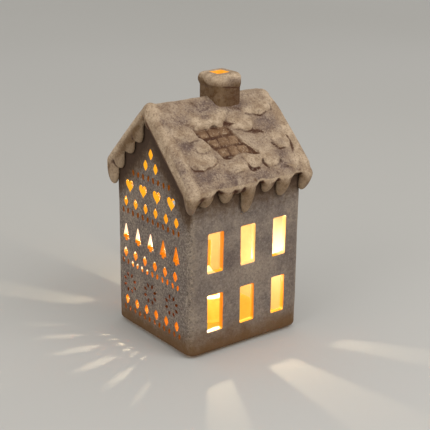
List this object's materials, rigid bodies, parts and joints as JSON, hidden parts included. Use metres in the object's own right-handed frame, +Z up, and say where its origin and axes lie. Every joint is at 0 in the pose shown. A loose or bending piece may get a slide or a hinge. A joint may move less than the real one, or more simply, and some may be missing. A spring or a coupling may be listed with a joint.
{
  "type": "ceramic house lantern",
  "caption": "House-shaped ceramic lantern with window openings, one pierced gable, a lift-off snow-covered roof with an open chimney, and a battery tealight standing inside.",
  "frame": {"origin": "on the table, under the middle of the house", "axes": "+Z up, +X along the house from the pierced gable to the plain gable, +Y from the front wall to the back wall"},
  "size_m": [0.1164, 0.1104, 0.199],
  "materials": {
    "wall_clay": "matte unglazed, grey slip wiped over buff clay",
    "snow_clay": "matte unglazed cream slip with a brown wash in the hollows",
    "felt": "pressed felt",
    "ivory_plastic": "satin moulded",
    "frosted_plastic": "frosted translucent",
    "clear_resin": "clear cast resin",
    "tin_plate": "tinned sheet and wire",
    "cell_steel": "plain nickelled steel, unmarked",
    "dark_plastic": "moulded"
  },
  "bodies": {
    "house": {"front_wall": "wall_clay", "back_wall": "wall_clay", "pierced_gable": "wall_clay", "plain_gable": "wall_clay", "floor_slab": "wall_clay", "felt_pad_front_left": "felt", "felt_pad_front_right": "felt", "felt_pad_back_left": "felt", "felt_pad_back_right": "felt"},
    "roof": {"roof_front_slab": "snow_clay", "roof_back_slab": "snow_clay", "chimney": "snow_clay"},
    "tealight": {"tealight_case": "ivory_plastic", "tealight_base": "ivory_plastic", "flame_tip": "frosted_plastic", "led_lens": "clear_resin", "led_lead_negative": "tin_plate", "led_lead_positive": "tin_plate", "coin_cell": "cell_steel", "negative_contact": "tin_plate", "positive_contact": "tin_plate"},
    "switch": {"switch_slider": "dark_plastic"},
    "cap": {"battery_cap": "ivory_plastic"}
  },
  "joints": [
    {"name": "roof_lift", "type": "slide", "parent": "house", "child": "roof", "axis": [0, 0, 1], "range_m": [0, 0.09]},
    {"name": "tealight_lift", "type": "slide", "parent": "house", "child": "tealight", "axis": [0, 0, 1], "range_m": [0, 0.118]},
    {"name": "switch_slide", "type": "slide", "parent": "tealight", "child": "switch", "axis": [1, 0, 0], "range_m": [0, 0.003]},
    {"name": "battery_cap_turn", "type": "hinge", "parent": "tealight", "child": "cap", "pos_m": [0, 0.0032, 0.008], "axis": [0, 0, 1], "range_deg": [0, 60]}
  ]
}
